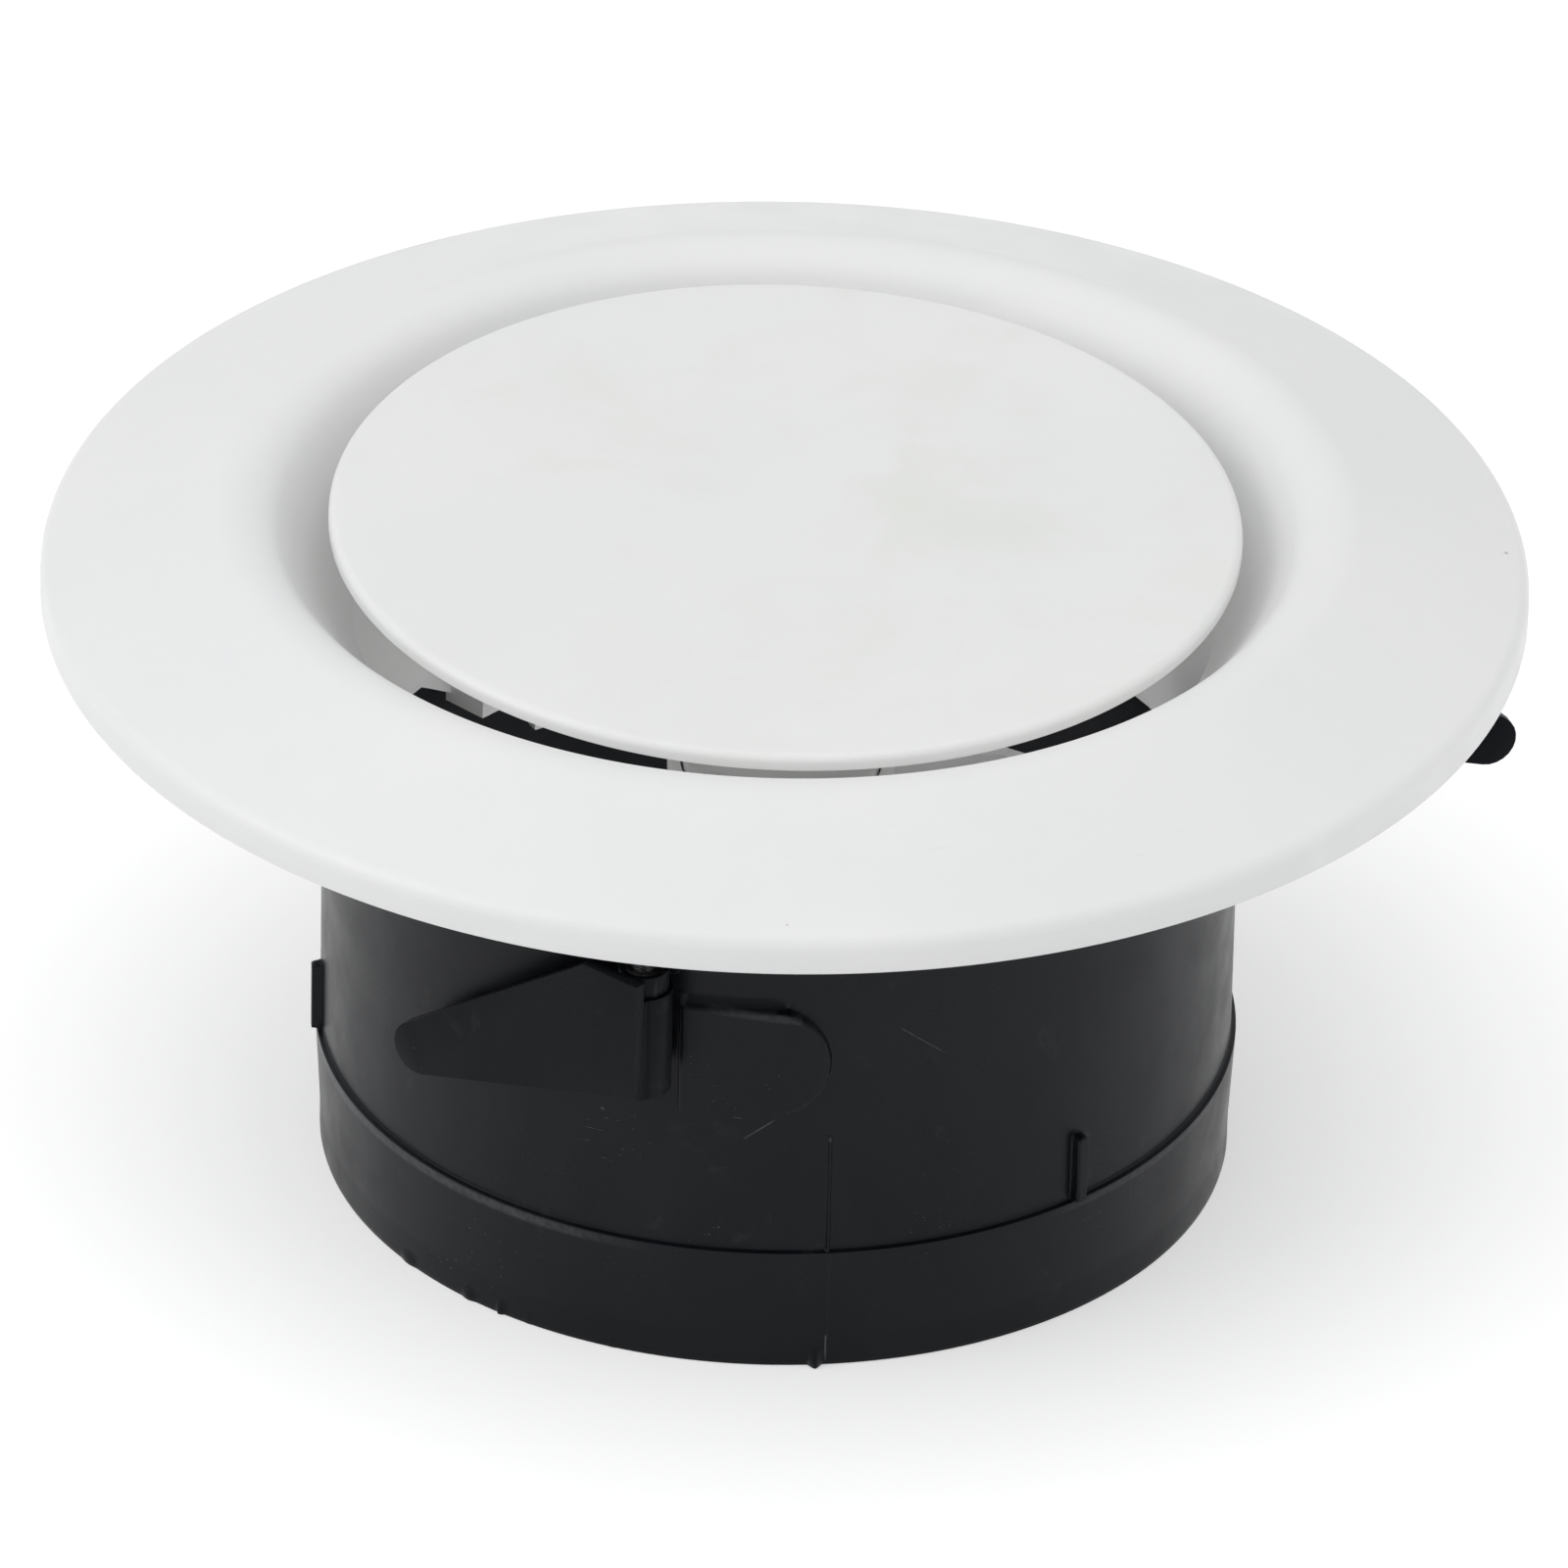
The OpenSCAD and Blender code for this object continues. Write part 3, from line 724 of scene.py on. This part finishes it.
def clamp_relief(azimuth, z, clamp):
    """Radius of a clamp's stop pad and key rails, or of the plain wall beside them."""
    centre = arc_mm(azimuth, clamp + PAD_END)
    start = arc_mm(azimuth, clamp + PAD_START)
    if centre > 0:
        outside = math.hypot(centre, z - PAD_Z) - PAD_HALF
    else:
        outside = max(abs(z - PAD_Z) - PAD_HALF, -start)
    pad = (PAD_R - COLLAR_R) * (1.0 - step(outside, -0.75, 0.05))
    beside = abs(abs(arc_mm(azimuth, clamp)) - RAIL_OFF) - RAIL_HALF
    rail = RAIL_RISE * (1.0 - step(beside, -0.2, 0.05)) * step(z, RAIL_LOW, RAIL_LOW + 0.5)
    return COLLAR_R + max(pad, rail)


def wall_radius(azimuth, z):
    """Radius of the collar's outside at a point: band, ribs, ridge, ragged edge and the clamps' relief."""
    r = COLLAR_R + (BAND_R - COLLAR_R) * step(-z, -BAND_TOP - 0.05, -BAND_TOP + 0.3)
    r -= BAND_TAPER * np.clip((BAND_TOP - 1.0 - z) / 20.8, 0.0, 1.0)
    if z > BAND_TOP - 0.1:
        r = max(r, COLLAR_R + rib_height(azimuth, z))
    r += ridge_height(azimuth, z)
    if z < -95.0:
        for az, reach, half in EDGE_LUMPS:
            across = (azimuth - az + 180.0) % 360.0 - 180.0
            r += EDGE_GAIN * reach * math.exp(-(across / half) ** 2) * step(-z, 97.2 - abs(reach), 99.2)
    return max([r] + [clamp_relief(azimuth, z, az) for az in CLAMP_AZ])


# Moulding lumps on the collar's lower edge: azimuth, relative reach, half width in degrees.
# The last is the foot of the parting ridge.
EDGE_GAIN = 1.25                   # reach in millimetres of a lump of relative reach 1
EDGE_LUMPS = [(-56.5, -0.35, 1.3), (-52.0, 0.45, 1.9), (-46.5, -0.25, 1.6), (-40.8, 0.50, 1.3),
              (-38.0, -0.45, 0.9), (-35.7, 0.65, 0.55), (-31.5, 0.30, 0.9), (-28.8, 0.22, 0.8),
              (-24.0, -0.15, 1.5), (-19.8, 0.30, 0.9), (5.7, 1.25, 0.75)]


def collar_azimuths():
    """Azimuths of the collar's mesh: even, with extra ones where a rib, ridge, rail or pad needs them."""
    found = set(round(a, 4) for a in whole_turn(216))
    per_mm = 1.0 / (math.radians(1.0) * COLLAR_R)

    def near(centre, offsets):
        for d in offsets:
            found.add(round((centre + d * per_mm) % 360.0, 4))

    for az in RIB_AZ:
        near(az, [s * d for d in (0, 0.4, 0.8, 0.9, 1.0, 1.1, 1.2, 1.35) for s in (-1, 1)])
    near(EDGE_LUMPS[-1][0], [0.2 * i for i in range(-9, 10)])
    found.update(round((724 + i) * 360.0 / 864, 4) for i in range(100))
    near(RIDGE_AZ, [s * d for d in (0, 0.1, 0.2, 0.3, 0.4, 0.55) for s in (-1, 1)])
    for az in CLAMP_AZ:
        near(az, [s * d for d in (2.2, 2.4, 2.5, 2.6, 3.1, 3.6, 3.7, 3.8, 4.0) for s in (-1, 1)])
        near(az + PAD_START, (-0.3, 0.0, 0.2, 0.4, 0.6, 0.8, 1.2))
        near(az + PAD_END, [0.35 * i for i in range(1, 33)])
    ordered = sorted(found)
    return [a for i, a in enumerate(ordered) if i == 0 or a - ordered[i - 1] > 0.04]


def collar_heights():
    """Heights of the rows on the collar's outside wall, from the gutter down."""
    rows = set()
    rows.update(np.arange(-10.0, -27.0, -3.0))
    rows.update((-27.6, -27.8, -28.0, -28.2, -28.4))
    rows.update(np.arange(-30.0, -33.0, -1.0))
    rows.update(np.arange(-33.3, -55.2, -0.4))
    rows.update(np.arange(-55.6, -58.2, -0.2))
    rows.update(np.arange(-59.5, -64.0, -1.8))
    rows.update(np.arange(-64.5, -67.6, -0.2))
    rows.update(np.arange(-68.5, -77.5, -1.8))
    rows.update(np.arange(-77.9, -79.2, -0.1))
    rows.update(np.arange(-80.5, -93.0, -2.0))
    rows.update(np.arange(-93.5, -99.6, -0.6))
    ordered = sorted((float(z) for z in rows), reverse=True)
    return [z for i, z in enumerate(ordered) if i == 0 or ordered[i - 1] - z > 0.05]


def collar():
    """The black body: outside wall with its relief, inside wall, screw gutter and hidden mounting flange."""
    azimuths = collar_azimuths()
    heights = collar_heights()
    edge = 0.4
    inner = rounded([(COLLAR_IN, COLLAR_LOW + 3), (COLLAR_IN, GUTTER_TOP), (GUTTER_R - 1.8, GUTTER_TOP),
                     (GUTTER_R - 1.8, MOUNT_TOP), (MOUNT_R, MOUNT_TOP), (MOUNT_R, MOUNT_Z),
                     (GUTTER_R, MOUNT_Z), (GUTTER_R, GUTTER_LOW), (COLLAR_R + 0.5, GUTTER_LOW)], edge, 3)
    bore = [(COLLAR_IN, COLLAR_LOW + edge), (COLLAR_IN, COLLAR_LOW + 20), (COLLAR_IN, SKIRT_LOW)]
    inner = bore + inner[4:-4]
    foot = arc(COLLAR_IN + edge, COLLAR_LOW + edge, edge, 270, 180, 3)[:-1]
    points = []
    for a in azimuths:
        wobble = 0.10 * math.sin(math.radians(a) * 3 + 0.7) + 0.06 * math.sin(math.radians(a) * 11)
        column = inner + [(COLLAR_R + 0.12, GUTTER_LOW - 0.15)]
        column += [(wall_radius(a, z), z) for z in heights]
        last = wall_radius(a, -99.6)
        column += [(last - 0.1, COLLAR_LOW + 0.12 + 0.1 * wobble), (last - 0.45, COLLAR_LOW)]
        column += foot
        points.append([polar(r, a, z) for r, z in column])
    rows, cols = len(points[0]), len(azimuths)
    flat = [p for column in points for p in column]
    faces = []
    for i in range(cols):
        j = (i + 1) % cols
        for k in range(rows):
            m = (k + 1) % rows
            faces.append((j * rows + k, j * rows + m, i * rows + m, i * rows + k))
    shell = piece("collar_shell", flat, faces, "frame", BLACK_COLLAR, "black_abs", sharp=50.0)
    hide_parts("collar")

    catch_low, catch_high = (COLLAR_IN - 1.5, -4.0, CATCH_LOW), (COLLAR_IN + 0.5, 4.0, CATCH_TOP)
    catches = [box_at(az, catch_low, catch_high) for az in LEG_AZ]
    soften(piece("collar_catches", *join(*catches), "frame", BLACK, "black_abs"), 0.8, 4)


# ---------------------------------------------------------------- threads

def threaded(low, high, radius, depth, pitch, steps=28, starts=1):
    """A threaded rod: its radius follows a rounded V as it climbs one pitch per turn."""
    rows = max(4, int(round((high - low) / pitch * 7)))
    points, faces = [], []
    for k in range(rows + 1):
        z = low + (high - low) * k / rows
        run_out = min(step(z - low, 0.0, pitch), step(high - z, 0.0, pitch * 0.4))
        for i in range(steps):
            phase = (z / pitch - i * starts / steps) % 1.0
            crest = 0.5 + 0.5 * math.cos(2 * math.pi * phase)
            r = radius - depth * (1 - step(crest, 0.15, 0.85) * run_out)
            t = 2 * math.pi * i / steps
            points.append((r * math.cos(t), r * math.sin(t), z))
    for k in range(rows):
        for i in range(steps):
            j = (i + 1) % steps
            faces.append((k * steps + i, k * steps + j, (k + 1) * steps + j, (k + 1) * steps + i))
    faces.append(tuple(range(steps))[::-1])
    faces.append(tuple(rows * steps + i for i in range(steps)))
    return points, faces


def screw_threads():
    """Gives the clamp screws and the disc's stem their threads, keeping their heads and ends."""
    for letter, azimuth in zip("abc", CLAMP_AZ):
        node = "clamp_screw_" + letter
        x, y, _ = polar(PIVOT_R, azimuth, 0)
        rod = threaded(span(node)[0].z, GUTTER_LOW - 0.9, SCREW_R, 0.32, SCREW_PITCH)
        moved = [(px + x, py + y, pz) for px, py, pz in rod[0]]
        screw = piece(node + "_thread", *join((moved, rod[1]), kept_part(node, low=GUTTER_LOW - 1.0)),
                      "screw_" + letter, SPRING, "spring_steel", sharp=40.0)
        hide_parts(node)
    low, high = span("stem")[0].z, span("drag_sleeve")[0].z
    rod = threaded(low + 5.0, high - 1.5, STEM_R, 0.55, STEM_PITCH, steps=40, starts=STEM_STARTS)
    ends = join(kept_part("stem", high=low + 5.1), kept_part("stem", low=high - 1.6))
    stem = piece("stem_thread", *join(rod, ends), "disc", ZINC, "zinc_steel", sharp=40.0)
    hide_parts("stem")


# ---------------------------------------------------------------- assembly

face_ring()
disc_face()
collar()
screw_threads()

replaced = {"face_ring", "face_disc", "collar", "stem"} | {"clamp_screw_" + letter for letter in "abc"}
record_slot = {row["node"]: row["material_slot"] for row in frame["record"]["subparts"]}
EDGE_MM = {"bridge": 0.35, "arm_a": 0.45, "arm_b": 0.45, "arm_c": 0.45, "flange_gasket": 0.5}
for name, obj in frame["nodes"].items():
    if name in replaced:
        continue
    obj.data.materials.clear()
    obj.data.materials.append(SLOT_MATERIAL[record_slot[name]])
    for polygon in obj.data.polygons:
        polygon.use_smooth = True
        polygon.material_index = 0
    soften(obj, EDGE_MM.get(name, 0.12), 2)

# ---------------------------------------------------------------- stage, light and camera

stage_floor = bpy.data.meshes.new("floor")
half = 6.0
floor_z = cad_box[0].z
corners = [(x * half, y * half, floor_z) for x, y in ((-1, -1), (1, -1), (1, 1), (-1, 1))]
stage_floor.from_pydata(corners, [], [(0, 1, 2, 3)])
floor = bpy.data.objects.new("floor", stage_floor)
bpy.context.scene.collection.objects.link(floor)
paper = Shader("floor_paper")
pale = paper.mix(paper.noise(400.0, 2.0, 0.4), grey(0.93), grey(0.95))
paper.set("Base Color", paper.mix(paper.direct_view(), grey(0.80), pale))
paper.set("Roughness", 0.85)
paper.set("Emission Color", grey(1.0))
paper.set("Emission Strength", paper.math("MULTIPLY", paper.direct_view(), 0.40))
stage_floor.materials.append(paper.material)

world = bpy.data.worlds.new("studio")
world.use_nodes = True
background = world.node_tree.nodes["Background"]
background.inputs["Color"].default_value = (0.985, 0.99, 1.0, 1.0)
background.inputs["Strength"].default_value = 0.60
bpy.context.scene.world = world
bpy.context.scene.view_settings.view_transform = "Standard"


def softbox(name, place, aim, size, power, mirrored=True):
    """A square area light pointing at a spot."""
    lamp = bpy.data.lights.new(name, "AREA")
    lamp.shape = "SQUARE"
    lamp.size = size
    lamp.energy = power
    obj = bpy.data.objects.new(name, lamp)
    obj.location = place
    obj.rotation_mode = "QUATERNION"
    obj.rotation_quaternion = (Vector(aim) - Vector(place)).to_track_quat("-Z", "Y")
    obj.visible_glossy = mirrored
    bpy.context.scene.collection.objects.link(obj)


softbox("key", (-1.6, -0.5, 1.1), (0, 0, 0), 1.4, 8.0)
softbox("fill", (1.6, -0.3, 0.7), (0, 0, 0), 1.4, 1.6)
softbox("top", (0.0, -0.5, 1.8), (0, 0, 0), 1.6, 8.0, mirrored=False)
# The table's glow that comes up through the collar
softbox("duct", (0.0, 0.0, -0.096), (0, 0.0001, 0), 0.10, 0.035, mirrored=False)

# The camera: a long lens at 2.975 m, 29.9 degrees above the horizon, rolled a little
CAMERA_DISTANCE = 25 * FACE_R * MM
CAMERA_ELEVATION = math.radians(29.86)
CAMERA_ROLL = math.radians(1.2)
RIM_PLANE = 6.6 * MM
LENS = 427.33                      # focal length in millimetres, on a 36 mm sensor
AIM_RIGHT, AIM_DOWN = 0.0047, 0.3078   # what the camera aims at, in flange radii from the rim's centre

forward = Vector((0, math.cos(CAMERA_ELEVATION), -math.sin(CAMERA_ELEVATION)))
right = Vector((1, 0, 0))
up = right.cross(forward)
subject = Vector((0, 0, RIM_PLANE))
camera_data = bpy.data.cameras.new("camera")
camera_data.sensor_width = 36.0
camera_data.lens = LENS
camera_data.clip_end = 50.0
camera = bpy.data.objects.new("camera", camera_data)
camera.location = subject - forward * CAMERA_DISTANCE
target = subject + (right * AIM_RIGHT - up * AIM_DOWN) * FACE_R * MM
look = (target - camera.location).normalized()
side = look.cross(Vector((0, 0, 1))).normalized()
top = side.cross(look)
x_axis = side * math.cos(CAMERA_ROLL) + top * math.sin(CAMERA_ROLL)
y_axis = top * math.cos(CAMERA_ROLL) - side * math.sin(CAMERA_ROLL)
camera.rotation_mode = "QUATERNION"
camera.rotation_quaternion = Matrix((x_axis, y_axis, -look)).transposed().to_quaternion()
bpy.context.scene.collection.objects.link(camera)
bpy.context.scene.camera = camera
